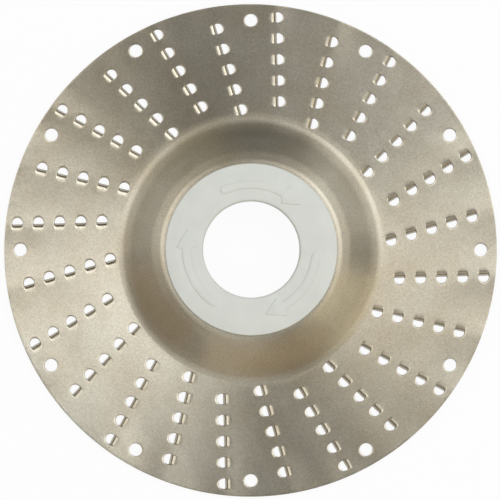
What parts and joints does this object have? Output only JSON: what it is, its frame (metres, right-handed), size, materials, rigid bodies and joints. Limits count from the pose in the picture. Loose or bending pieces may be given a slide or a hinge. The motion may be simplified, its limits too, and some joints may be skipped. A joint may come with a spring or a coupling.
{
  "type": "angle grinder rasp disc",
  "caption": "Dished steel rasp disc with rows of punched scoop teeth on its flat rim, turning on a two-part plastic hub ring with a round spindle bore.",
  "frame": {"origin": "on the spindle axis, in the plane of the tooth tips", "axes": "+Z along the spindle axis towards the grinder; +X through one of the round rim holes; +Y a quarter turn on, also through a rim hole"},
  "size_m": [0.115, 0.115, 0.0111],
  "materials": {
    "steel_sheet": "satin, fine grain",
    "hub_plastic": "matte moulded"
  },
  "bodies": {
    "hub": {"hub_ring_rear": "hub_plastic", "hub_ring_front": "hub_plastic"},
    "disc": {"rasp_disc": "steel_sheet"}
  },
  "joints": [
    {"name": "hub_slip", "type": "hinge", "parent": "hub", "child": "disc", "pos_m": [0, 0, 0.0096], "axis": [0, 0, 1], "continuous": true}
  ]
}
